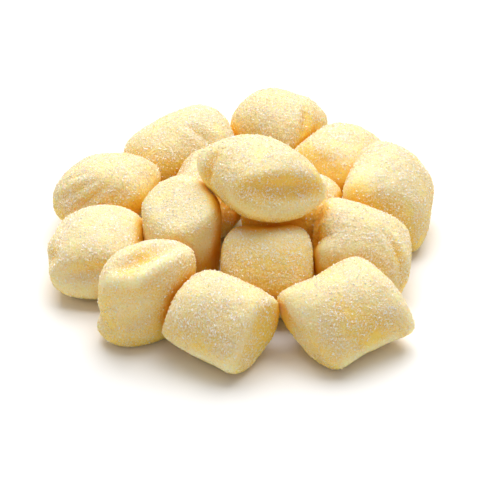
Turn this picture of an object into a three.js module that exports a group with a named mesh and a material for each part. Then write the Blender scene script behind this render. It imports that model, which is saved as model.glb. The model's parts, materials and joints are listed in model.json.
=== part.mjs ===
// Potato gnocchi: a loose heap of fifteen soft pillows of potato dough, lying as they were tipped out.
// Each piece was cut from a rope of dough with a knife, so it is a plump pillow whose two cut ends are
// pinched thinner than its middle and end in two lips with a shallow groove between them.
// Millimetres, +Z up. X runs across the heap, Y runs from its front to its back, and the surface that
// the heap lies on is Z = 0. The origin is at the middle of the heap's footprint.

import * as THREE from 'three';
import { mergeVertices } from 'three/addons/utils/BufferGeometryUtils.js';

// Driving dimensions of an ordinary piece
const CUT_LENGTH = 26.5;     // between the two cut ends, along the rope
const ROPE_WIDTH = 24;       // across the rope
const ROPE_HEIGHT = 20;      // through the thickest part of the pillow
const END_PINCH = 0.28;      // share of the height that the knife takes off at the ends
const END_FLARE = 0.04;      // share of the width that the squeezed ends gain over the middle
const LIP_DEPTH = 1.6;       // depth of the groove between the two lips of an end

// How the pillow rounds off
const ALONG_POWER = 3.4;     // superellipse power along the rope: blunt ends
const WIDTH_POWER = 3.6;     // how square the corners are seen from above
const HEIGHT_POWER = 2.5;    // how round the pillow is from the side
const PINCH_POWER = 2.4;     // how late along the rope the pinch sets in
const WAIST = 0.4;           // where along the rope the flare adds nothing, as a squared share
const GROOVE_START = 0.7;    // the groove reaches this far back from an end, as a share of half the length
const GROOVE_SPREAD = 0.38;  // half height of the groove as a share of the half thickness
const GROOVE_WRAP = 0.45;    // how much of the groove runs on round the corners of the end

// How the heap lies
const SETTLE = 0.6;          // how far the underside of a soft piece flattens where it rests
const CONTACT_GAP = 0.3;     // left between two pieces that press on each other
const PRESS_REACH = 40;      // pieces whose middles are further apart than this can't touch
const PRESS_ROUNDS = 2;
const PRESS_DIRECTIONS = 1200;

// Mesh of one piece
const STEPS_AROUND = 22;
const STEPS_ALONG = 14;

const DEG = Math.PI / 180;

const DOUGH = { color: 0xf3dfa0, roughness: 0.78, metalness: 0 };

// Each piece: where its middle stands (and how high, if it lies on others), how the rope that it was
// cut from points (turn about Z, tilt of its end down, roll about itself) and what is its own about it.
const PIECES = [
	{ name: 'gnocco_front_middle', at: [ - 4, - 35 ], turn: - 30, tilt: 14, roll: 25,
		length: 27, width: 22.5, height: 21, lean: 0.05, bow: 0.5 },
	{ name: 'gnocco_front_right', at: [ 26, - 31 ], turn: 40, tilt: - 9, roll: 30,
		length: 28.5, width: 25.5, flare: 0.24, lean: - 0.12, blunt: 3.8 },
	{ name: 'gnocco_front_left', at: [ - 23, - 25 ], turn: 5, tilt: - 87, roll: - 60,
		length: 26.5, width: 27, height: 18, pinch: 0.1, bow: - 1, lips: [ 0.5, 3 ], settle: 1.2 },
	{ name: 'gnocco_left_front', at: [ - 37, - 4.5 ], turn: - 93, tilt: 0, roll: 12,
		length: 27, width: 24.5, pinch: 0.2, lips: [ 1.6, 2.4 ], seam: 0.2 },
	{ name: 'gnocco_middle', at: [ 7, - 14 ], turn: - 5, tilt: - 3, roll: 42, length: 25, height: 21 },
	{ name: 'gnocco_standing', at: [ - 15, - 2 ], turn: 20, tilt: - 87, roll: 0,
		length: 28.5, pinch: 0, flare: 0, lean: 0.05, blunt: 5, lips: [ 0.4, 0.4 ], settle: 1.2 },
	{ name: 'gnocco_right_front', at: [ 31.5, - 6 ], turn: - 4, tilt: 14, roll: 35,
		length: 27, height: 19, pinch: 0.3, lean: - 0.1, taper: - 0.05, lips: [ 2.2, 2 ] },
	{ name: 'gnocco_top', at: [ 5.5, 0.5, 29 ], turn: - 65, tilt: - 10, roll: - 16,
		length: 28, width: 26.5, pinch: 0.18, flare: 0.1, lean: 0.1, lips: [ 1.6, 2 ], seam: 0.15 },
	{ name: 'gnocco_left', at: [ - 36.5, 22 ], turn: - 100, tilt: - 20, roll: 15,
		width: 26, pinch: 0.22, lips: [ 1.6, 1 ], seam: 0.1 },
	{ name: 'gnocco_right', at: [ 40, 18 ], turn: 75, tilt: - 10, roll: 48,
		length: 28.5, width: 26.5, pinch: 0.3, taper: - 0.12 },
	{ name: 'gnocco_under_left', at: [ - 9, 21 ], turn: 65, tilt: - 5, roll: 0, width: 22.5 },
	{ name: 'gnocco_under_right', at: [ 14, 14.5 ], turn: - 20, tilt: 0, roll: 0, height: 21 },
	{ name: 'gnocco_back_right', at: [ 27, 37.5 ], turn: 54, tilt: 0, roll: 0, width: 23.5 },
	{ name: 'gnocco_back', at: [ 11, 57 ], turn: - 34, tilt: 0, roll: 0, length: 25.5, width: 23.5 },
	{ name: 'gnocco_back_left', at: [ - 16, 46 ], turn: 26, tilt: - 14, roll: 0,
		length: 30, width: 23.5, height: 18.5 },
];

const ORDINARY = {
	length: CUT_LENGTH, width: ROPE_WIDTH, height: ROPE_HEIGHT, pinch: END_PINCH, flare: END_FLARE,
	taper: 0, lean: 0, bow: 0, blunt: ALONG_POWER, lips: [ LIP_DEPTH, LIP_DEPTH ], seam: 0, settle: SETTLE,
};

function power( value, exponent ) {

	return Math.sign( value ) * Math.abs( value ) ** exponent;

}

// Where a point of a unit ball goes on the pillow. The ball's axis becomes the rope's, local X;
// local Y is the width and local Z the height.
function pillowPoint( ball, piece ) {

	const ring = Math.hypot( ball.x, ball.z );
	const across = ring > 0 ? ball.z / ring : 0;
	const up = ring > 0 ? ball.x / ring : 0;
	const along = power( ball.y, 2 / piece.blunt );
	const wide = across * ring ** ( 2 / WIDTH_POWER );
	const high = up * ring ** ( 2 / HEIGHT_POWER );

	const nearEnd = THREE.MathUtils.smoothstep( Math.abs( along ), GROOVE_START, 1 );
	const fromSeam = ( high - piece.seam ) / GROOVE_SPREAD;
	const inGroove = nearEnd * Math.exp( - fromSeam * fromSeam );
	const lip = along > 0 ? piece.lips[ 1 ] : piece.lips[ 0 ];

	const halfWidth = piece.width / 2 * ( 1 + piece.flare * ( along ** 2 - WAIST ) + piece.taper * along );
	const halfHeight = piece.height / 2 * ( 1 - piece.pinch * Math.abs( along ) ** PINCH_POWER );
	const x = piece.length / 2 * along - Math.sign( along ) * lip * inGroove * ( 1 - 0.5 * wide ** 2 );
	const y = halfWidth * wide - Math.sign( wide ) * lip * GROOVE_WRAP * inGroove * wide ** 4 + piece.lean * x;
	const z = halfHeight * high + piece.bow * ( along ** 2 - WAIST );
	return new THREE.Vector3( x, y, z );

}

function pillowGeometry( piece ) {

	const ball = new THREE.SphereGeometry( 1, STEPS_AROUND, STEPS_ALONG );
	ball.deleteAttribute( 'normal' );
	ball.deleteAttribute( 'uv' );
	const geometry = mergeVertices( ball );
	const points = geometry.attributes.position;
	const point = new THREE.Vector3();
	for ( let i = 0; i < points.count; i ++ ) {

		point.fromBufferAttribute( points, i );
		const placed = pillowPoint( point, piece );
		points.setXYZ( i, placed.x, placed.y, placed.z );

	}

	return geometry;

}

function makeGnocco( own ) {

	const piece = { ...ORDINARY, ...own };
	const mesh = new THREE.Mesh( pillowGeometry( piece ), new THREE.MeshStandardMaterial( DOUGH ) );
	mesh.name = piece.name;
	mesh.rotation.set( piece.roll * DEG, piece.tilt * DEG, piece.turn * DEG, 'ZYX' );
	mesh.position.set( piece.at[ 0 ], piece.at[ 1 ], piece.at[ 2 ] ?? 0 );
	mesh.updateMatrixWorld();
	if ( piece.at[ 2 ] === undefined ) {

		const lowest = Math.min( ...worldPoints( mesh ).map( ( p ) => p.z ) );
		mesh.position.z = - lowest - piece.settle;
		mesh.updateMatrixWorld();

	}

	return mesh;

}

function worldPoints( mesh ) {

	const points = mesh.geometry.attributes.position;
	const list = [];
	for ( let i = 0; i < points.count; i ++ ) {

		list.push( new THREE.Vector3().fromBufferAttribute( points, i ).applyMatrix4( mesh.matrixWorld ) );

	}

	return list;

}

function setWorldPoints( mesh, list ) {

	const points = mesh.geometry.attributes.position;
	const back = mesh.matrixWorld.clone().invert();
	list.forEach( ( p, i ) => {

		const local = p.clone().applyMatrix4( back );
		points.setXYZ( i, local.x, local.y, local.z );

	} );

}

// Directions spread evenly over half a ball, for looking for the plane between two pieces.
function evenDirections( count ) {

	const golden = Math.PI * ( 3 - Math.sqrt( 5 ) );
	return Array.from( { length: count }, ( _, i ) => {

		const z = 1 - 2 * ( i + 0.5 ) / count;
		const r = Math.sqrt( 1 - z * z );
		return new THREE.Vector3( r * Math.cos( i * golden ), r * Math.sin( i * golden ), z );

	} );

}

function flattenBeyond( list, normal, limit ) {

	for ( const p of list ) {

		const beyond = p.dot( normal ) - limit;
		if ( beyond > 0 ) p.addScaledVector( normal, - beyond );

	}

}

// Two soft pieces that meet flatten each other on the plane where they overlap least.
function pressTogether( a, b, directions ) {

	let least = Infinity;
	let normal = null;
	let middle = 0;
	for ( const direction of directions ) {

		let reach = - Infinity;
		let start = Infinity;
		for ( const p of a ) reach = Math.max( reach, p.dot( direction ) );
		for ( const p of b ) start = Math.min( start, p.dot( direction ) );
		if ( reach - start < least ) {

			least = reach - start;
			normal = direction;
			middle = ( reach + start ) / 2;

		}

	}

	if ( least < - CONTACT_GAP ) return;
	flattenBeyond( a, normal, middle - CONTACT_GAP / 2 );
	flattenBeyond( b, normal.clone().negate(), - middle - CONTACT_GAP / 2 );

}

function settleHeap( meshes ) {

	const shapes = meshes.map( worldPoints );
	const down = new THREE.Vector3( 0, 0, - 1 );
	const directions = evenDirections( PRESS_DIRECTIONS );
	for ( const shape of shapes ) flattenBeyond( shape, down, 0 );
	for ( let round = 0; round < PRESS_ROUNDS; round ++ ) {

		for ( let i = 0; i < meshes.length; i ++ ) {

			for ( let j = i + 1; j < meshes.length; j ++ ) {

				const apart = meshes[ i ].position.distanceTo( meshes[ j ].position );
				if ( apart < PRESS_REACH ) pressTogether( shapes[ i ], shapes[ j ], directions );

			}

		}

	}

	meshes.forEach( ( mesh, i ) => setWorldPoints( mesh, shapes[ i ] ) );

}

function centreHeap( meshes ) {

	const box = new THREE.Box3();
	for ( const mesh of meshes ) box.union( new THREE.Box3().setFromPoints( worldPoints( mesh ) ) );
	const middle = box.getCenter( new THREE.Vector3() );
	for ( const mesh of meshes ) {

		mesh.position.x -= middle.x;
		mesh.position.y -= middle.y;

	}

}

const gnocchi = PIECES.map( makeGnocco );
settleHeap( gnocchi );
centreHeap( gnocchi );

const heap = new THREE.Group();
heap.name = 'potato_gnocchi';
heap.add( ...gnocchi );

export default heap;
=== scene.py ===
"""Potato gnocchi: the look of a loose heap of fifteen floured pillows of dough.

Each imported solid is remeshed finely, gets the folds that cutting and rolling left on it, and then the
crumbly relief of potato dough. Coarse semolina lies on all of them. The properties with a length unit, the
meshes and the stage are in metres. Other lengths are millimetres, and MM turns them into metres.
"""

import json
import math

import bmesh
import bpy
import numpy as np
from bpy.props import FloatProperty, FloatVectorProperty, IntProperty, PointerProperty
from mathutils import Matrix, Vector, noise
from mathutils.bvhtree import BVHTree

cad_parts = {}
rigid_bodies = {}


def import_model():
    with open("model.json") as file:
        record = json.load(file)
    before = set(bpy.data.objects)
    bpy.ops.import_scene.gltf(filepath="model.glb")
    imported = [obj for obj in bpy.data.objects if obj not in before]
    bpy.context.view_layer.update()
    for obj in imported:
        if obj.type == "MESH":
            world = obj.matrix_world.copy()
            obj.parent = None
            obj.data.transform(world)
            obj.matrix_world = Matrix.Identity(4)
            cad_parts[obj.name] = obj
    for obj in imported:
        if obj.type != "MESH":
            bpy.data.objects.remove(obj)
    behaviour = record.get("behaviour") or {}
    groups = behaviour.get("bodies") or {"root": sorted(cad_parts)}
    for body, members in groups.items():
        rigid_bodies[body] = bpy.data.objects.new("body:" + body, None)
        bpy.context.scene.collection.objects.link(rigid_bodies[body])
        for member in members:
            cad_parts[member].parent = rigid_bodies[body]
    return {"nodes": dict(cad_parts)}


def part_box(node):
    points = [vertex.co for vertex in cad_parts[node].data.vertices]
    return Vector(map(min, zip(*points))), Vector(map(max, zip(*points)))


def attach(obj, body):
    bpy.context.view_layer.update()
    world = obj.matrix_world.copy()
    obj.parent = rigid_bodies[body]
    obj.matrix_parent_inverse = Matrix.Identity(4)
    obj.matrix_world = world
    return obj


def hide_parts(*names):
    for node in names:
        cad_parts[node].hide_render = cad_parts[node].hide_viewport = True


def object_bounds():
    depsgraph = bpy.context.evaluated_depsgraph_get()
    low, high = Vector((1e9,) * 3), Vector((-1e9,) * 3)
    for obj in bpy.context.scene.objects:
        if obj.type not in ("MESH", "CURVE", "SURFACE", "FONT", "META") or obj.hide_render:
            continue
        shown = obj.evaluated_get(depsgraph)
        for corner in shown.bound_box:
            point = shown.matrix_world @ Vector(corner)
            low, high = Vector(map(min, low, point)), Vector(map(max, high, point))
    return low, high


bl_info = {
    "name": "Potato gnocchi",
    "version": (1, 0, 0),
    "blender": (4, 5, 0),
    "location": "3D View > Sidebar > Gnocchi",
    "description": "Finishes a heap of potato gnocchi dusted with semolina",
    "category": "Object",
}

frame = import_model()
CAD_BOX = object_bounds()

MM = 0.001
BODY = "root"

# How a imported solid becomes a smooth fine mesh
SAME_PLACE = 0.001  # corners closer than this are one
ROUNDING_LEVELS = 3
SOFTENING = 0.5  # strength of one round
SOFTENING_ROUNDS = 6
ROUNDING_LOSS = 0.18  # what that takes off a solid, given back to the finished piece

# How a mark is laid on a piece
PATH_STEPS = 6  # places on the surface between two stops of a mark
OUTSIDE = 50  # further from the middle than any piece reaches
FADE_FLOOR = 0.08  # keeps the ends of a mark from fading out wholly
CREASE_STEEPNESS = 1.6  # how fast a crease gets shallower across, per width
CREASE_LIP = 0.4  # height of the lips beside a crease, as a share of its depth
CREASE_LIP_PLACE = 1.6  # how far from the crease they stand, in widths
CREASE_LIP_STEEPNESS = 2

# How the open air in front of a surface is found
SKY_RAYS = 3  # looks from each vertex into the open
SKY_REACH = 14.0  # how far they go
SKY_START = 0.6  # how far out they start
SKY_SPREAD = 0.55  # how much they stray from the normal
SKY_LIFT = 0.35  # how much they bend upwards
EVENING_ROUNDS = 25  # how often the result is evened out over its neighbours

# The relief of the dough: sizes of its lumps, crumbs and grit, and where it is weaker
FLAT_FOOT = 1.5  # the marks and the relief fade out below this height, where a piece rests
LARGE_LUMPS = 7.0
SMALL_LUMPS = 3.2
SMALL_LUMP_SHARE = 0.5
CRUMB_SIZE = 1.6
GRIT_SIZE = 0.6
GRIT_MIDDLE = 0.5  # grit above this stands out, and grit below it is a pit
SMOOTH_WHERE_BARE = 0.7
SMOOTH_ON_TOP = 0.4
TOP_POWER = 3  # how soon a slope no longer counts as a top
SMALL_LUMPS_SEED = 20  # each piece has its own seed, and these are added to it
CRUMBS_SEED = 40
GRIT_SEED = 60
PATCHES_SEED = 80

# The flour on the dough, as shares from 0 for none to 1 for white
PATCH_SIZE = 4.0
FLOUR_EVERYWHERE = 0.28
# Paler on what faces up: flour that settled there, and a painted highlight on the tops
FLOUR_AND_PAINTED_HIGHLIGHT_ON_TOP = 0.55
FLOUR_IN_PATCHES = 0.2
# Painted shade: less flour, and so a deeper dough colour, in grooves and creases
PAINTED_SHADE_IN_HOLLOWS = 0.4
BARE_PALENESS = 0.95  # a smooth bare stretch is as pale as floured dough
PAINTED_SHADE_DEPTH = 0.3  # how far a clean stretch goes below no flour, to outdo the speckles, for its painted shade

# How soon a place counts as lying in the open, out of the painted shade of the gaps
AIR_SLOPE = 2.0
AIR_START = 0.2

# How thickly the loose grains lie, as shares
GRAINS_SLOPE = 1.4  # how soon they lie thickly outside the gaps
GRAINS_START = 0.2
GRAINS_FLOOR = 0.01
GRAINS_POWER = 1.5
GRAINS_LOST_WHERE_BARE = 0.75
GRAINS_LOST_IN_PAINTED_SHADE = 0.4
GRAINS_UNDERNEATH = 0.35
OVERHANG = 0.6  # a slope that faces down by more than this keeps only the share underneath
GRAINS_BETWEEN_PATCHES = 0.95
GRAINS_IN_PATCHES = 1.1
FEWEST_GRAINS = 0.3
MOST_GRAINS = 1.8
GRAINLESS_FOOT = 0.4  # no grains below this height

# The loose grains, from the finest kind to the coarsest
GRAIN_KINDS = 5
FEWER_EACH_KIND = 0.15  # what each kind has less than the one before, as a share of the finest
FIRST_DUSTED_KIND = 3  # counted from 0: this kind and the coarser ones fell from above
DUST_UNDERNEATH = 0.12  # the share of these that sticks where the dough doesn't face up
GRAINS_SEED = 11
WHITENING_POWER = 2  # how late along the kinds they turn white
FINE_GRAIN_ROUGHNESS = 0.6
SMOOTHER_EACH_KIND = 0.08
STREAK_SCATTER = 0.6  # how much grains stray from the streaks of their piece
LYING_FLAT = 0.7  # 1 would lay every grain along the surface
SIZE_RANGE = (0.75, 1.25)  # as shares of the length of the kind
THIN_GRAIN = (1.0, 0.35, 0.35)  # as shares of its length: along, aside and through
THICK_GRAIN = (1.0, 0.6, 0.6)
RAGGED_RANGE = (0.75, 1.25)  # how far each corner stands out
PROUD_RANGE = (-0.15, 0.3)  # how high the middle of a grain lies above the dough, in half lengths
PRESSED_ON_TOP = 0.25  # how much lower it lies where the dough faces up

# The stage
AIM_SHIFT = (-0.0011, -0.0114)  # from the middle of the heap to what the camera looks at
AIM_HEIGHT = 0.010
FAR_LIMIT = 20  # how far the camera sees
TABLE_REACH = 3.0
TABLE_WHITE = (0.96, 0.96, 0.96, 1)
LAMP_PLACE = (0.02, 0.32, 0.74)
LAMP_SIZE = 0.85
LAMP_POWER = 9.6
SKY_WHITE = (1, 1, 1, 1)
SKY_STRENGTH = 0.37

# What cutting, pressing and rolling left on each piece, and where shade is painted on it. A mark runs
# through points given as directions from the middle of the piece, in shares of half its box. Then come its
# width and its depth. A groove is round, a crease is sharp and a swell stands out. A bare stretch has lost
# its loose semolina and its roughness but stays pale, and a clean stretch has fewer loose grains and its
# colour is painted shade, the deeper colour of dough without flour, in hollows, on lower sides and under
# other pieces: the depth of both is a share. A pull draws a corner out from the middle, or in if it is
# negative. A cut has the point and the direction of the plane that the knife left, how softly its rim is
# rounded, and how far in it lies.
MARKS = {
    "gnocco_top": [
        ("pull", [(-1, 0.3, 0)], 4.5, 0.5),
        ("pull", [(-0.9, 0.4, 0.4)], 4.0, 1.0),
        ("pull", [(1, -0.3, -0.2)], 3.5, 0.7),
        ("groove", [(-0.7, 0.1, 0.7), (-0.8, -0.1, 0.3), (-0.8, -0.1, -0.2)], 1.5, 1.2),
        ("swell", [(-0.7, 0, 0.7), (-0.8, -0.2, 0.2), (-0.6, -0.5, -0.2)], 1.4, 0.4),
        ("groove", [(-0.3, -0.9, 0.5), (0.3, -0.8, 0.4), (0.8, -0.5, 0.1)], 3.4, 1.0),
        ("swell", [(-0.4, -0.8, 0.7), (0.2, -0.7, 0.8), (0.8, -0.4, 0.5)], 1.6, 0.4),
        ("swell", [(-0.4, -0.9, 0), (0.2, -0.8, -0.3), (0.8, -0.6, -0.3)], 3.0, 0.5),
        ("clean_and_painted_shade", [(-0.8, 0, 0.4), (-0.9, 0, 0)], 1.8, 0.6),
        ("clean_and_painted_shade", [(-0.2, -0.9, 0.5), (0.3, -0.7, 0.4), (0.8, -0.5, 0.2)], 3.4, 0.75),
        ("bare", [(-1, 0.2, 0.1), (-0.9, 0.2, 0.4)], 2.6, 0.9),
        ("bare", [(-0.5, -0.8, 0.1), (0.2, -0.9, -0.2), (0.9, -0.4, -0.1)], 2.6, 0.7),
    ],
    "gnocco_standing": [
        ("pull", [(-0.9, 0.2, 0.6)], 4.0, 1.0),
        ("cut", [(0, -0.9, 0.6), (-0.3, -0.2, 1)], 1.5, -0.5),
        ("crease", [(0, 0.8, 0.9), (0.3, 0.6, 0.9)], 1.5, 0.4),
        ("bare", [(-0.8, -0.6, 0), (0, -1, 0), (0.8, -0.6, 0.2)], 6.5, 1.0),
        ("clean_and_painted_shade", [(0, -1, -0.3), (0.6, -0.8, -0.3)], 5.0, 0.5),
        ("clean_and_painted_shade", [(1, 0, 0.3), (0.9, 0.1, 0.7)], 4.0, 0.7),
    ],
    "gnocco_front_left": [
        ("pull", [(-1, -0.4, -0.7)], 2.5, 1.2),
        ("groove", [(-1, -0.1, -0.4), (-0.9, -0.7, -0.2)], 1.8, 0.8),
        ("groove", [(-0.6, -0.7, 0.8), (-0.2, -0.3, 0.9), (0.1, 0, 0.9)], 2.6, 0.9),
        ("crease", [(-0.4, -0.8, 0.8), (0, -0.6, 0.9), (0.4, 0.1, 0.9)], 1.2, 0.35),
        ("swell", [(-0.8, -0.6, 0.6), (-0.2, -0.9, 0.8), (0.4, -0.4, 1), (0.8, 0.3, 0.9)], 1.8, 0.8),
        ("bare", [(-0.8, -0.6, 0.6), (-0.2, -0.9, 0.8), (0.5, -0.3, 1)], 1.5, 0.9),
        ("clean_and_painted_shade", [(-0.4, -0.6, 0.9), (0.1, 0, 0.9)], 2.8, 0.4),
        ("clean_and_painted_shade", [(0.9, -0.5, 0), (0.7, -0.7, -0.3)], 3.5, 0.5),
        ("bare", [(-0.4, -1, 0.3), (0, -1, 0.3)], 4.0, 0.4),
    ],
    "gnocco_left_front": [
        ("pull", [(1, 0.4, 0.5)], 5.0, 1.4),
        ("pull", [(-1, 0, 0.2)], 3.0, 1.0),
        ("groove", [(-1, -0.3, 0.1), (-0.7, -0.6, 0.4)], 2.0, 1.0),
        ("bare", [(-0.7, -0.9, -0.2), (-0.1, -1, -0.4)], 4.5, 0.7),
        ("clean_and_painted_shade", [(0.4, -0.9, -0.2), (0.8, -0.7, -0.1)], 3.5, 0.5),
        ("clean_and_painted_shade", [(1, 0.2, 0.2)], 3.0, 0.8),
    ],
    "gnocco_left": [
        ("pull", [(0.9, 0.4, 0.2)], 7.0, 2.2),
        ("pull", [(0.8, -0.7, 0.2)], 4.5, 1.3),
        ("crease", [(-0.4, -0.8, 0.2), (0.2, -0.7, 0.8)], 1.2, 0.5),
        ("crease", [(-0.8, -0.6, 0.2), (0, -0.6, 0.8)], 1.4, 0.5),
        ("crease", [(-0.6, -0.4, 0.6), (-0.1, -0.4, 0.9)], 1.2, 0.3),
        ("clean_and_painted_shade", [(0.2, -1, 0.2), (0.8, -0.7, 0.3)], 3.5, 0.8),
    ],
    "gnocco_front_middle": [
        ("pull", [(-1, -0.1, -0.3)], 3.0, 0.9),
        ("pull", [(0.1, -0.9, -0.6)], 3.0, 0.6),
        ("pull", [(1, 0, 0.4)], 2.5, 0.5),
        ("pull", [(-0.2, 0.6, 0.9)], 7.0, -0.5),
        ("cut", [(0.7, -0.4, 0.6), (0.8, -0.6, 0)], 1.1, 0.5),
        ("groove", [(-0.3, -0.5, 0.6), (0.1, -0.5, 0.6)], 4.0, 0.4),
        ("bare", [(-0.9, -0.1, -0.5), (-0.4, -0.6, -0.5), (0.1, -0.9, -0.5)], 3.0, 0.8),
        ("bare", [(0.6, -0.5, 0.6), (0.2, -1, -0.2)], 2.0, 0.5),
        ("clean_and_painted_shade", [(0.8, -0.4, 0.2), (0.8, -0.2, -0.4)], 4.5, 0.8),
    ],
    "gnocco_front_right": [
        ("pull", [(1, -0.1, -0.4)], 3.0, 0.9),
        ("pull", [(-1, 0, 0.3)], 2.5, 0.4),
        ("pull", [(-0.1, -0.8, -0.9)], 3.0, 0.4),
        ("groove", [(-0.7, 0, 0.8), (0, 0.5, 0.9)], 4.0, 0.4),
        ("groove", [(0, -0.9, -0.1), (0.6, -0.5, -0.4)], 4.0, 0.5),
        ("bare", [(-0.9, -0.3, 0.6), (-0.6, -0.5, 0.5)], 4.5, 0.7),
        ("bare", [(-0.7, -0.5, -0.3)], 5.0, 0.4),
        ("bare", [(0.8, 0, 0.4), (1, -0.1, -0.4)], 3.0, 0.8),
        ("bare", [(0, -0.9, -0.6), (0.8, -0.3, -0.6)], 2.6, 0.8),
        ("clean_and_painted_shade", [(-0.1, -0.6, 0.6), (0.5, -0.5, 0.1)], 4.0, 0.5),
    ],
    "gnocco_right_front": [
        ("pull", [(-0.8, 0.8, 0.4)], 5.0, 2.4),
        ("pull", [(0.8, 0, 0.5)], 5.0, -1.0),
        ("crease", [(-1, 0.1, 0), (-0.8, -0.2, 0.5), (-0.6, -0.3, 0.7)], 2.2, 1.0),
        ("groove", [(-0.6, -0.7, 0.3), (0.4, -0.9, 0.1)], 3.0, 0.6),
        ("swell", [(-0.9, -0.4, 0.2), (-0.4, -0.7, 0.5)], 3.0, 0.5),
        ("crease", [(0.4, -0.2, 0.7), (0.7, -0.6, 0.2), (0.7, -0.9, -0.5)], 1.4, 0.75),
        ("swell", [(0.6, -0.1, 0.6), (0.8, -0.4, 0.2), (0.8, -0.6, -0.2)], 1.6, 0.4),
        ("bare", [(-0.9, -0.4, 0.2), (-0.4, -0.7, 0.4)], 3.5, 1.0),
        ("bare", [(0.8, -0.3, 0.4), (0.8, -0.5, 0.1)], 1.4, 0.6),
        ("clean_and_painted_shade", [(0.6, -0.4, 0.5), (0.7, -0.6, 0.2)], 1.6, 0.6),
        ("clean_and_painted_shade", [(-0.6, -0.8, 0.1), (0, -0.9, 0.2)], 3.0, 0.8),
        ("clean_and_painted_shade", [(-0.9, 0, 0.4)], 3.5, 0.8),
    ],
    "gnocco_right": [
        ("groove", [(-0.4, -0.8, 0.7), (0.1, -1, 0)], 3.5, 0.7),
        ("swell", [(-0.8, -0.4, 0.8), (-0.6, -0.1, 0.9)], 2.0, 0.3),
        ("bare", [(-0.8, -0.4, 0.8), (-0.8, -0.6, 0.6)], 5.0, 1.0),
        ("clean_and_painted_shade", [(-0.8, -0.8, 0.6), (0, -1, 0.1), (0.3, -1, -0.3)], 3.5, 0.9),
    ],
    "gnocco_back_right": [
        ("cut", [(-0.1, -0.7, 0.7), (-0.4, -0.7, 0.5)], 0.8, 0.3),
        ("bare", [(-0.6, -0.5, 0.5), (-0.1, -0.8, 0.5)], 4.5, 0.8),
        ("clean_and_painted_shade", [(-0.7, -0.3, 0.6), (0, -0.8, 0.4)], 4.0, 0.7),
        ("clean_and_painted_shade", [(-0.8, -0.3, 0.4), (-0.2, -0.8, 0), (0.1, -1, 0)], 4.5, 1.0),
    ],
    "gnocco_back": [
        ("crease", [(0.5, -0.3, 0.8), (0.5, -0.8, 0.3)], 1.6, 1.1),
        ("groove", [(0.7, -0.5, 0.4)], 3.5, 0.7),
        ("clean_and_painted_shade", [(0.8, -0.5, 0.4), (0.6, -0.8, 0.1)], 3.5, 0.7),
        ("clean_and_painted_shade", [(-0.7, -0.7, 0.1), (0, -1, 0)], 3.0, 0.6),
    ],
    "gnocco_back_left": [
        ("pull", [(-1, -0.1, -0.1)], 5.0, 1.5),
        ("groove", [(-0.6, -0.8, 0.2), (-0.1, -0.9, 0)], 4.0, 0.4),
        ("crease", [(0.1, -0.2, 0.9), (0.5, -0.5, 0.6)], 1.5, 0.8),
        ("clean_and_painted_shade", [(-0.8, -0.6, 0), (0.3, -0.9, 0)], 4.0, 0.8),
    ],
    "gnocco_middle": [
        ("groove", [(-0.4, 0.4, 0.9), (0.3, 0.6, 0.9)], 3.0, 0.4),
        ("clean_and_painted_shade", [(-0.2, -1, 0.1), (0.4, -0.9, 0)], 4.0, 0.6),
        ("clean_and_painted_shade", [(-0.5, -0.5, 0.7), (0.5, -0.5, 0.7)], 6.0, 0.5),
    ],
    "gnocco_under_left": [
        ("pull", [(-0.1, 0.7, 0.8)], 5.0, 1.4),
        ("pull", [(-0.7, 0.2, 0.5)], 4.5, -1.8),
    ],
    "gnocco_under_right": [
        ("clean_and_painted_shade", [(-0.4, -0.8, 0.4), (0.6, -0.8, 0.4)], 6.0, 0.9),
    ],
}


class GnocchiShape(bpy.types.PropertyGroup):
    """How fine the pieces are and how rough the dough stands."""

    fineness: FloatProperty(
        name="Fineness", description="Edge length of the finished mesh", default=0.28 * MM, unit="LENGTH"
    )
    lumps: FloatProperty(
        name="Lumps", description="Height of the soft lumps of the dough", default=0.28 * MM, unit="LENGTH"
    )
    crumbs: FloatProperty(
        name="Crumbs", description="Height of the crumbly relief", default=0.07 * MM, unit="LENGTH"
    )
    grit: FloatProperty(
        name="Grit", description="Height of the finest relief", default=0.2 * MM, unit="LENGTH"
    )


class DoughFinish(bpy.types.PropertyGroup):
    """The colours of the dough and of what lies on it, and the painted shade deep in the gaps of the heap.
    """

    # Painted shade: a deep amber that stands for light bounced between the pieces, laid deep in the gaps of
    # the heap
    painted_gap_shade: FloatVectorProperty(
        name="Hidden dough", description="Colour deep in the gaps of the heap", subtype="COLOR",
        default=(0.97, 0.5, 0.03),
    )
    bare_dough: FloatVectorProperty(
        name="Bare dough", description="Colour where no flour lies", subtype="COLOR",
        default=(0.97, 0.64, 0.13),
    )
    floured_dough: FloatVectorProperty(
        name="Floured dough", description="Colour under a film of flour", subtype="COLOR",
        default=(1.0, 0.865, 0.53),
    )
    semolina: FloatVectorProperty(
        name="Semolina", description="Colour of the fine grains", subtype="COLOR",
        default=(1.0, 0.83, 0.46),
    )
    white_semolina: FloatVectorProperty(
        name="White semolina", description="Colour of the coarse grains", subtype="COLOR",
        default=(1.0, 0.96, 0.89),
    )


class SemolinaScatter(bpy.types.PropertyGroup):
    """The loose grains on the pieces."""

    per_kind: IntProperty(
        name="Finest grains", description="How many grains the finest kind has", default=32500
    )
    coarse: FloatProperty(
        name="Coarse grain", description="Length of the coarsest grains", default=0.75 * MM, unit="LENGTH"
    )
    fine: FloatProperty(
        name="Fine grain", description="Length of the finest grains", default=0.45 * MM, unit="LENGTH"
    )


class StageSettings(bpy.types.PropertyGroup):
    """The white table, its light and the camera."""

    elevation: FloatProperty(
        name="Camera elevation", description="Angle of the view above the table", default=math.radians(35),
        subtype="ANGLE",
    )
    distance: FloatProperty(
        name="Camera distance", description="From the lens to the point it looks at", default=0.52,
        unit="LENGTH",
    )
    lens: FloatProperty(name="Lens", description="Focal length", default=150.0, unit="CAMERA")


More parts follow.
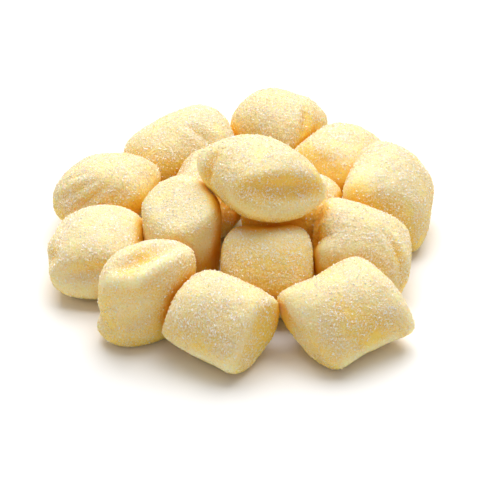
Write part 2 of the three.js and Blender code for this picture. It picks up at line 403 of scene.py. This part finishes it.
class GnocchiSettings(bpy.types.PropertyGroup):
    """Everything that a user would change."""

    shape: PointerProperty(type=GnocchiShape)
    dough: PointerProperty(type=DoughFinish)
    semolina: PointerProperty(type=SemolinaScatter)
    stage: PointerProperty(type=StageSettings)


# Meshes as arrays


def corners(mesh):
    """The vertices of a mesh as an array."""
    found = np.empty(len(mesh.vertices) * 3)
    mesh.vertices.foreach_get("co", found)
    return found.reshape(-1, 3)


def outward(mesh):
    """The vertex normals of a mesh as an array."""
    found = np.empty(len(mesh.vertices) * 3)
    mesh.vertex_normals.foreach_get("vector", found)
    return found.reshape(-1, 3)


def move(mesh, shift):
    """Moves each vertex by its own vector."""
    mesh.vertices.foreach_set("co", (corners(mesh) + shift).ravel())
    mesh.update()


def push_out(mesh, heights):
    """Moves each vertex along its normal."""
    move(mesh, outward(mesh) * heights[:, None])


def unevenness(points, size, seed):
    """A smooth random height from about -1 to 1 at each point, which changes over about size."""
    shift = Vector([seed * step for step in (7.3, 3.1, 5.7)])
    return np.array([noise.noise(Vector(p) + shift) for p in points / (size * MM)])


def rounded_grains(points, size, seed):
    """A height from 0 to 1 at each point, with a rounded bump about every size."""
    steepness = 2.2
    shift = Vector([seed * step for step in (2.9, 8.7, 4.1)])
    nearest = np.array([noise.voronoi(Vector(p) + shift)[0][0] for p in points / (size * MM)])
    return np.clip(1 - nearest * nearest * steepness, 0, 1)


def store(mesh, name, values):
    """Keeps one number for each vertex as a named attribute."""
    mesh.attributes.new(name, "FLOAT", "POINT").data.foreach_set("value", values.astype(np.float32))


def kept(mesh, name):
    """Reads back what store kept."""
    found = np.empty(len(mesh.vertices), np.float32)
    mesh.attributes[name].data.foreach_get("value", found)
    return found


# The dough


def fine_copy(node, fineness):
    """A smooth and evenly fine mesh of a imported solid."""
    coarse = bmesh.new()
    coarse.from_mesh(node.data)
    bmesh.ops.remove_doubles(coarse, verts=coarse.verts, dist=SAME_PLACE * MM)
    bmesh.ops.join_triangles(
        coarse, faces=coarse.faces, angle_face_threshold=math.pi, angle_shape_threshold=math.pi
    )
    mesh = bpy.data.meshes.new(node.name + "_smooth")
    coarse.to_mesh(mesh)
    coarse.free()
    piece = bpy.data.objects.new(node.name + "_smooth", mesh)
    bpy.context.scene.collection.objects.link(piece)
    rounding = piece.modifiers.new("Rounding", "SUBSURF")
    rounding.levels = ROUNDING_LEVELS
    even = piece.modifiers.new("Even mesh", "REMESH")
    even.mode = "VOXEL"
    even.voxel_size = fineness
    softening = piece.modifiers.new("Softening", "SMOOTH")
    softening.factor = SOFTENING
    softening.iterations = SOFTENING_ROUNDS
    evaluated = piece.evaluated_get(bpy.context.evaluated_depsgraph_get())
    fine = bpy.data.meshes.new_from_object(evaluated)
    bpy.data.objects.remove(piece)
    bpy.data.meshes.remove(mesh)
    return fine


def on_surface(tree, middle, directions):
    """A path on the surface of a piece, from directions seen from its middle."""
    stops = [Vector(d) for d in directions]
    if len(stops) > 1:
        legs = zip(stops, stops[1:])
        stops = [a.lerp(b, i / PATH_STEPS) for a, b in legs for i in range(PATH_STEPS)] + [stops[-1]]
    path = []
    for direction in stops:
        hit = tree.ray_cast(middle + direction.normalized() * OUTSIDE * MM, -direction)[0]
        if hit is not None:
            path.append(np.array(hit))
    return path


def along_path(points, path):
    """(distance to the path, place along it from 0 to 1) for each point."""
    if len(path) == 1:
        return np.linalg.norm(points - path[0], axis=1), np.full(len(points), 0.5)
    best = np.full(len(points), np.inf)
    place = np.zeros(len(points))
    shortest = 1e-12  # keeps a leg without length from dividing by zero
    for i, (a, b) in enumerate(zip(path, path[1:])):
        leg = b - a
        share = np.clip((points - a) @ leg / max(leg @ leg, shortest), 0, 1)
        away = np.linalg.norm(points - a - share[:, None] * leg, axis=1)
        nearer = away < best
        best[nearer] = away[nearer]
        place[nearer] = (i + share[nearer]) / (len(path) - 1)
    return best, place


def unit(vectors):
    """Each row made one long."""
    return vectors / np.linalg.norm(vectors, axis=-1, keepdims=True)


def draw_out_and_cut(points, middle, half, tree, marks):
    """How far the pulls and the cuts among the marks move each point."""
    shift = np.zeros_like(points)
    for kind, stops, width, depth in marks:
        if kind == "pull":
            seat = on_surface(tree, middle, [Vector(stops[0]) * half])[0]
            across = np.linalg.norm(points - seat, axis=1) / (width * MM)
            shift += unit(seat - np.array(middle)) * (depth * MM * np.exp(-(across**2)))[:, None]
        elif kind == "cut":
            seat = on_surface(tree, middle, [Vector(stops[0]) * half])[0]
            facing = unit(np.array(stops[1]))
            beyond = (points + shift - seat) @ facing / MM + depth
            shift -= facing * (width * MM * np.logaddexp(0, beyond / width))[:, None]
    return shift


def mark_heights(points, middle, half, tree, marks):
    """(height that the other marks add, how bare they leave it, how much painted shade their clean
    stretches lay) for each point.
    """
    height, bare, clean_and_painted_shade = np.zeros((3, len(points)))
    for kind, stops, width, depth in marks:
        if kind in ("pull", "cut"):
            continue
        path = on_surface(tree, middle, [Vector(s) * half for s in stops])
        away, place = along_path(points, path)
        across = away / (width * MM)
        fade = 1.0 if len(path) == 1 else np.sqrt(np.clip(4 * place * (1 - place), FADE_FLOOR, 1))
        if kind == "bare":
            bare = np.maximum(bare, depth * np.exp(-(across**2)))
        # A clean stretch is painted shade: a deeper dough colour with less flour and fewer grains, in
        # hollows, on lower sides and under other pieces
        elif kind == "clean_and_painted_shade":
            clean_and_painted_shade = np.maximum(clean_and_painted_shade, depth * np.exp(-(across**2)))
        elif kind == "crease":
            lips = CREASE_LIP * np.exp(-((across - CREASE_LIP_PLACE) ** 2) * CREASE_LIP_STEEPNESS)
            cut = np.exp(-across * CREASE_STEEPNESS) - lips
            height -= depth * MM * fade * cut
        else:
            side = 1 if kind == "swell" else -1
            height += side * depth * MM * fade * np.exp(-(across**2))
    return height, bare, clean_and_painted_shade


def heap_tree():
    """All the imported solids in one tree, to look up what stands in the way of a ray."""
    places, faces = [], []
    for node in frame["nodes"].values():
        base = len(places)
        places += [v.co.copy() for v in node.data.vertices]
        faces += [tuple(base + i for i in p.vertices) for p in node.data.polygons]
    return BVHTree.FromPolygons(places, faces)


def spread_out(mesh, values, rounds):
    """Evens out one number per vertex over its neighbours."""
    ends = np.empty(len(mesh.edges) * 2, np.int32)
    mesh.edges.foreach_get("vertices", ends)
    a, b = ends.reshape(-1, 2).T
    count = np.bincount(a, minlength=len(values)) + np.bincount(b, minlength=len(values))
    for _ in range(rounds):
        total = np.bincount(a, values[b], len(values)) + np.bincount(b, values[a], len(values))
        values = total / np.maximum(count, 1)
    return values


def openness(mesh, heap, seed):
    """How much of the space in front of each vertex is free, from 0 in a gap to 1 in the open."""
    draw = np.random.default_rng(seed)
    points, normals = corners(mesh), outward(mesh)
    seen = np.zeros(len(points))
    starts = points + normals * SKY_START * MM
    for _ in range(SKY_RAYS):
        way = normals + draw.normal(size=points.shape) * SKY_SPREAD
        way[:, 2] += SKY_LIFT
        for i, (start, direction) in enumerate(zip(starts.tolist(), way.tolist())):
            if heap.ray_cast(start, direction, SKY_REACH * MM)[0] is None:
                seen[i] += 1 / SKY_RAYS
    return spread_out(mesh, seen, EVENING_ROUNDS)


def flour_share(upward, patches, height, bare, clean_and_painted_shade):
    """How floured the dough is at each point, with painted shade in hollows and below 0 in clean stretches,
    and flour with a painted highlight on what faces up.
    """
    # Painted shade in grooves and creases, where the surface lies below its rounded shape
    hollow = np.clip(ROUNDING_LOSS - height / MM, 0, 1)
    # Flour settled on what faces up, with a painted highlight on the tops
    gritty = FLOUR_EVERYWHERE + FLOUR_AND_PAINTED_HIGHLIGHT_ON_TOP * upward + FLOUR_IN_PATCHES * patches
    gritty -= PAINTED_SHADE_IN_HOLLOWS * hollow
    floured = gritty + (BARE_PALENESS - gritty) * bare
    # Below no flour where a clean stretch paints shade
    return np.clip(floured * (1 - clean_and_painted_shade) - PAINTED_SHADE_DEPTH * clean_and_painted_shade, -PAINTED_SHADE_DEPTH, 1)


def grain_share(upward, patches, free, bare, clean_and_painted_shade):
    """How thickly the loose grains lie at each point."""
    share = np.clip(free * GRAINS_SLOPE - GRAINS_START, GRAINS_FLOOR, 1) ** GRAINS_POWER
    share *= 1 - GRAINS_LOST_WHERE_BARE * bare
    share *= 1 - GRAINS_LOST_IN_PAINTED_SHADE * clean_and_painted_shade
    share *= GRAINS_UNDERNEATH + (1 - GRAINS_UNDERNEATH) * np.clip(upward + OVERHANG, 0, 1)
    return share * np.clip(GRAINS_BETWEEN_PATCHES + GRAINS_IN_PATCHES * patches, FEWEST_GRAINS, MOST_GRAINS)


def shape_piece(node, seed, shape, heap):
    """The finished mesh of one gnocco."""
    mesh = fine_copy(node, shape.fineness)
    tree = BVHTree.FromPolygons(
        [v.co.copy() for v in mesh.vertices], [tuple(p.vertices) for p in mesh.polygons]
    )
    low, high = (Vector(c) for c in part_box(node.name))
    marked = ((low + high) / 2, (high - low) / 2, tree, MARKS[node.name])
    points = corners(mesh)
    clear = np.clip(points[:, 2] / (FLAT_FOOT * MM), 0, 1)
    free = openness(mesh, heap, seed)
    height, bare, clean_and_painted_shade = mark_heights(points, *marked)
    move(mesh, draw_out_and_cut(points, *marked) * clear[:, None])
    height += ROUNDING_LOSS * MM
    small_lumps = unevenness(points, SMALL_LUMPS, seed + SMALL_LUMPS_SEED)
    lumps = unevenness(points, LARGE_LUMPS, seed) + SMALL_LUMP_SHARE * small_lumps
    push_out(mesh, (height + lumps * shape.lumps) * clear)

    points = corners(mesh)
    upward = outward(mesh)[:, 2]
    crumbs = unevenness(points, CRUMB_SIZE, seed + CRUMBS_SEED)
    grit = rounded_grains(points, GRIT_SIZE, seed + GRIT_SEED) - GRIT_MIDDLE
    rough = 1 - SMOOTH_WHERE_BARE * bare
    rough *= 1 - SMOOTH_ON_TOP * np.clip(upward, 0, 1) ** TOP_POWER
    push_out(mesh, (crumbs * shape.crumbs + grit * shape.grit) * rough * clear)

    patches = unevenness(points, PATCH_SIZE, seed + PATCHES_SEED)
    # The flour share also holds painted shade in hollows and clean stretches and a painted highlight on the
    # tops
    store(mesh, "flour", flour_share(upward, patches, height, bare, clean_and_painted_shade))
    # Where the painted gap shade is left out: 1 in the open, 0 deep in the gaps
    store(mesh, "open_air", np.clip(free * AIR_SLOPE - AIR_START, 0, 1))
    grains = grain_share(upward, patches, free, bare, clean_and_painted_shade)
    store(mesh, "grains", grains * (points[:, 2] > GRAINLESS_FOOT * MM))
    mesh.shade_smooth()
    return mesh


def dough_material(finish):
    """Potato dough: soft, slightly see-through and dull, paler where flour lies on it and where a highlight
    is painted on the tops, with painted shade in hollows, in clean stretches and deep in the gaps.
    """
    speckle_size = 0.4 * MM
    speckle_strength = 0.4
    material = bpy.data.materials.new("potato_dough")
    material.use_nodes = True
    nodes, links = material.node_tree.nodes, material.node_tree.links
    shader = nodes["Principled BSDF"]
    shader.inputs["Roughness"].default_value = 0.62
    shader.inputs["IOR"].default_value = 1.4
    shader.inputs["Specular IOR Level"].default_value = 0.25
    shader.inputs["Subsurface Weight"].default_value = 0.7
    shader.inputs["Subsurface Radius"].default_value = (1.0, 0.55, 0.12)
    shader.inputs["Subsurface Scale"].default_value = 6.0 * MM

    place = nodes.new("ShaderNodeTexCoord")
    # The flour share, which also carries the painted shade of hollows and clean stretches and the painted
    # highlight on the tops
    flour = nodes.new("ShaderNodeAttribute")
    flour.attribute_name = "flour"
    speckle = nodes.new("ShaderNodeTexNoise")
    speckle.inputs["Scale"].default_value = 1 / speckle_size
    speckle.inputs["Detail"].default_value = 2.0
    links.new(place.outputs["Object"], speckle.inputs["Vector"])
    spread = nodes.new("ShaderNodeMapRange")
    spread.inputs["From Min"].default_value = 0.3
    spread.inputs["From Max"].default_value = 0.7
    spread.inputs["To Min"].default_value = -speckle_strength
    spread.inputs["To Max"].default_value = speckle_strength
    links.new(speckle.outputs["Fac"], spread.inputs["Value"])
    amount = nodes.new("ShaderNodeMath")
    amount.operation = "ADD"
    amount.use_clamp = True
    links.new(flour.outputs["Fac"], amount.inputs[0])
    links.new(spread.outputs["Result"], amount.inputs[1])
    colour = nodes.new("ShaderNodeMix")
    colour.data_type = "RGBA"
    colour.inputs["A"].default_value = (*finish.bare_dough, 1)
    colour.inputs["B"].default_value = (*finish.floured_dough, 1)
    links.new(amount.outputs["Value"], colour.inputs["Factor"])
    # Painted shade: as open_air falls deep in the gaps, the colour turns to the amber gap shade
    open_air = nodes.new("ShaderNodeAttribute")
    open_air.attribute_name = "open_air"
    depth = nodes.new("ShaderNodeMix")
    depth.data_type = "RGBA"
    depth.inputs["A"].default_value = (*finish.painted_gap_shade, 1)
    links.new(open_air.outputs["Fac"], depth.inputs["Factor"])
    links.new(colour.outputs["Result"], depth.inputs["B"])
    links.new(depth.outputs["Result"], shader.inputs["Base Color"])

    bump = nodes.new("ShaderNodeBump")
    bump.inputs["Strength"].default_value = 1.0
    bump.inputs["Distance"].default_value = 0.15 * MM
    links.new(speckle.outputs["Fac"], bump.inputs["Height"])
    links.new(bump.outputs["Normal"], shader.inputs["Normal"])
    return material


def put_in_heap(name, mesh, material):
    """Adds a finished mesh to the scene as a piece that rides with the heap."""
    mesh.name = name
    mesh.materials.clear()
    mesh.materials.append(material)
    piece = bpy.data.objects.new(name, mesh)
    bpy.context.scene.collection.objects.link(piece)
    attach(piece, BODY)
    return piece


class GNOCCHI_OT_shape_pieces(bpy.types.Operator):
    """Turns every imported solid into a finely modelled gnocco"""

    bl_idname = "gnocchi.shape_pieces"
    bl_label = "Shape the gnocchi"

    def execute(self, context):
        settings = context.scene.gnocchi
        material = dough_material(settings.dough)
        heap = heap_tree()
        for seed, node in enumerate(sorted(frame["nodes"])):
            mesh = shape_piece(frame["nodes"][node], seed, settings.shape, heap)
            piece = put_in_heap(node + "_dough", mesh, material)
            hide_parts(node)
        return {"FINISHED"}


# The semolina


# A splinter: two tips with a triangle round the middle between them
GRAIN_POINTS = np.array([(1, 0, 0), (-1, 0, 0), (0, 1, 0), (0, -0.5, 0.87), (0, -0.5, -0.87)])
GRAIN_FACES = np.array([(0, 2, 3), (0, 3, 4), (0, 4, 2), (1, 3, 2), (1, 4, 3), (1, 2, 4)])


def triangles(mesh):
    """The three vertices of each triangle of a mesh, as an array."""
    mesh.calc_loop_triangles()
    index = np.empty(len(mesh.loop_triangles) * 3, np.int32)
    mesh.loop_triangles.foreach_get("vertices", index)
    return index.reshape(-1, 3)


def finished_surface():
    """(vertices, normals, streaks, triangles, how many grains each triangle draws) of all the pieces."""
    parts = []
    first = 0  # the number of the next vertex, which also seeds the streaks of its piece
    for node in sorted(frame["nodes"]):
        mesh = bpy.data.objects[node + "_dough"].data
        points, normals, index = corners(mesh), outward(mesh), triangles(mesh)
        a, b, c = (points[index[:, i]] for i in range(3))
        area = np.linalg.norm(np.cross(b - a, c - a), axis=1) / 2
        weight = area * kept(mesh, "grains")[index].mean(axis=1)
        streak = unit(np.random.default_rng(first).normal(size=3))
        parts.append((points, normals, np.broadcast_to(streak, points.shape), index + first, weight))
        first += len(points)
    return [np.concatenate(part) for part in zip(*parts)]


def grain_mesh(name, surface, weight, count, length, seed):
    """Splinters of about one length, pressed into the dough and lying mostly along its streaks."""
    points, normals, streaks, index = surface
    draw = np.random.default_rng(seed)
    chosen = draw.choice(len(index), count, p=weight / weight.sum())
    share = draw.dirichlet((1, 1, 1), count)
    seats = np.einsum("ij,ijk->ik", share, points[index[chosen]])
    facing = np.einsum("ij,ijk->ik", share, normals[index[chosen]])
    along = unit(streaks[index[chosen, 0]] + draw.normal(size=(count, 3)) * STREAK_SCATTER)
    along = unit(along - facing * (LYING_FLAT * np.sum(along * facing, axis=1))[:, None])
    aside = unit(np.cross(along, draw.normal(size=(count, 3))))
    turns = np.stack([along, aside, np.cross(along, aside)], axis=2)
    size = length / 2 * draw.uniform(*SIZE_RANGE, count)
    stretch = draw.uniform(THIN_GRAIN, THICK_GRAIN, (count, 3))[:, None] * size[:, None, None]
    ragged = draw.uniform(*RAGGED_RANGE, (count, len(GRAIN_POINTS), 1))
    shapes = np.einsum("ijk,ipk->ipj", turns, GRAIN_POINTS * stretch * ragged)
    pressed = PRESSED_ON_TOP * np.clip(facing[:, 2], 0, 1) ** TOP_POWER
    proud = draw.uniform(*PROUD_RANGE, count) - pressed
    seats = seats + facing * (size * proud)[:, None]
    seats[:, 2] = np.maximum(seats[:, 2], size)  # no grain dips into the table
    vertices = (shapes + seats[:, None]).reshape(-1, 3)
    faces = (GRAIN_FACES[None] + len(GRAIN_POINTS) * np.arange(count)[:, None, None]).reshape(-1, 3)
    mesh = bpy.data.meshes.new(name)
    mesh.from_pydata(vertices, [], faces)
    mesh.update()
    return mesh


def semolina_material(name, colour, roughness):
    """Hard pale grains that sparkle a little."""
    material = bpy.data.materials.new(name)
    material.use_nodes = True
    shader = material.node_tree.nodes["Principled BSDF"]
    shader.inputs["Base Color"].default_value = (*colour, 1)
    shader.inputs["Roughness"].default_value = roughness
    return material


class GNOCCHI_OT_scatter_semolina(bpy.types.Operator):
    """Scatters the loose grains, most of them on what faces up"""

    bl_idname = "gnocchi.scatter_semolina"
    bl_label = "Scatter the semolina"

    def execute(self, context):
        settings = context.scene.gnocchi
        scatter = settings.semolina
        *surface, weight = finished_surface()
        _, normals, _, index = surface
        upward = np.clip(normals[index[:, 0], 2], 0, 1)
        dusted = weight * (DUST_UNDERNEATH + (1 - DUST_UNDERNEATH) * upward)
        fine, white = settings.dough.semolina, settings.dough.white_semolina
        last = GRAIN_KINDS - 1
        for k in range(GRAIN_KINDS):
            name = f"semolina_{k + 1}"
            length = scatter.fine + (scatter.coarse - scatter.fine) * k / last
            count = int(scatter.per_kind * (1 - FEWER_EACH_KIND * k))
            lying = dusted if k >= FIRST_DUSTED_KIND else weight
            mesh = grain_mesh(name, surface, lying, count, length, GRAINS_SEED + k)
            whiteness = (k / last) ** WHITENING_POWER
            colour = [a + (b - a) * whiteness for a, b in zip(fine, white)]
            roughness = FINE_GRAIN_ROUGHNESS - SMOOTHER_EACH_KIND * k
            put_in_heap(name, mesh, semolina_material(name, colour, roughness))
        return {"FINISHED"}


# The stage


def aim(thing, target):
    """Turns a lamp or a camera towards a point."""
    thing.rotation_euler = (Vector(target) - thing.location).to_track_quat("-Z", "Y").to_euler()


def soft_lamp(name, place, target, size, power):
    """A large square lamp."""
    lamp = bpy.data.lights.new(name, "AREA")
    lamp.size = size
    lamp.energy = power
    holder = bpy.data.objects.new(name, lamp)
    holder.location = place
    bpy.context.scene.collection.objects.link(holder)
    aim(holder, target)


class GNOCCHI_OT_set_stage(bpy.types.Operator):
    """Lays the white table and sets the light and the camera"""

    bl_idname = "gnocchi.set_stage"
    bl_label = "Set the stage"

    def execute(self, context):
        stage = context.scene.gnocchi.stage
        low, high = CAD_BOX
        middle = (Vector(low) + Vector(high)) / 2
        look_at = Vector((middle.x + AIM_SHIFT[0], middle.y + AIM_SHIFT[1], AIM_HEIGHT))

        mesh = bpy.data.meshes.new("white_table")
        ends = ((-1, -1), (1, -1), (1, 1), (-1, 1))
        mesh.from_pydata([(x * TABLE_REACH, y * TABLE_REACH, 0) for x, y in ends], [], [(0, 1, 2, 3)])
        white = bpy.data.materials.new("white_table")
        white.use_nodes = True
        shader = white.node_tree.nodes["Principled BSDF"]
        shader.inputs["Base Color"].default_value = TABLE_WHITE
        shader.inputs["Roughness"].default_value = 0.9
        shader.inputs["Specular IOR Level"].default_value = 0.1
        mesh.materials.append(white)
        table = bpy.data.objects.new("white_table", mesh)
        context.scene.collection.objects.link(table)

        soft_lamp("lamp_above", LAMP_PLACE, (0, 0, 0), LAMP_SIZE, LAMP_POWER)

        world = bpy.data.worlds.new("white_room")
        world.use_nodes = True
        sky = world.node_tree.nodes["Background"]
        sky.inputs["Color"].default_value = SKY_WHITE
        sky.inputs["Strength"].default_value = SKY_STRENGTH
        context.scene.world = world

        lens = bpy.data.cameras.new("camera")
        lens.lens = stage.lens
        lens.clip_end = FAR_LIMIT
        camera = bpy.data.objects.new("camera", lens)
        back = Vector((0, -math.cos(stage.elevation), math.sin(stage.elevation)))
        camera.location = look_at + back * stage.distance
        context.scene.collection.objects.link(camera)
        aim(camera, look_at)
        context.scene.camera = camera
        context.scene.view_settings.view_transform = "Standard"
        return {"FINISHED"}


class GNOCCHI_PT_sidebar(bpy.types.Panel):
    """The steps, in the order in which they run"""

    bl_label = "Potato gnocchi"
    bl_space_type = "VIEW_3D"
    bl_region_type = "UI"
    bl_category = "Gnocchi"

    def draw(self, context):
        settings = context.scene.gnocchi
        for title, group, operator in (
            ("Shape", settings.shape, "gnocchi.shape_pieces"),
            ("Dough", settings.dough, None),
            ("Semolina", settings.semolina, "gnocchi.scatter_semolina"),
            ("Stage", settings.stage, "gnocchi.set_stage"),
        ):
            box = self.layout.box()
            box.label(text=title)
            for name in type(group).__annotations__:
                box.prop(group, name)
            if operator:
                box.operator(operator)


CLASSES = (
    GnocchiShape,
    DoughFinish,
    SemolinaScatter,
    StageSettings,
    GnocchiSettings,
    GNOCCHI_OT_shape_pieces,
    GNOCCHI_OT_scatter_semolina,
    GNOCCHI_OT_set_stage,
    GNOCCHI_PT_sidebar,
)


def register():
    for one in CLASSES:
        bpy.utils.register_class(one)
    bpy.types.Scene.gnocchi = PointerProperty(type=GnocchiSettings)


def unregister():
    del bpy.types.Scene.gnocchi
    for one in reversed(CLASSES):
        bpy.utils.unregister_class(one)


def main():
    register()
    bpy.ops.gnocchi.shape_pieces()
    bpy.ops.gnocchi.scatter_semolina()
    bpy.ops.gnocchi.set_stage()


if __name__ == "__main__":
    main()
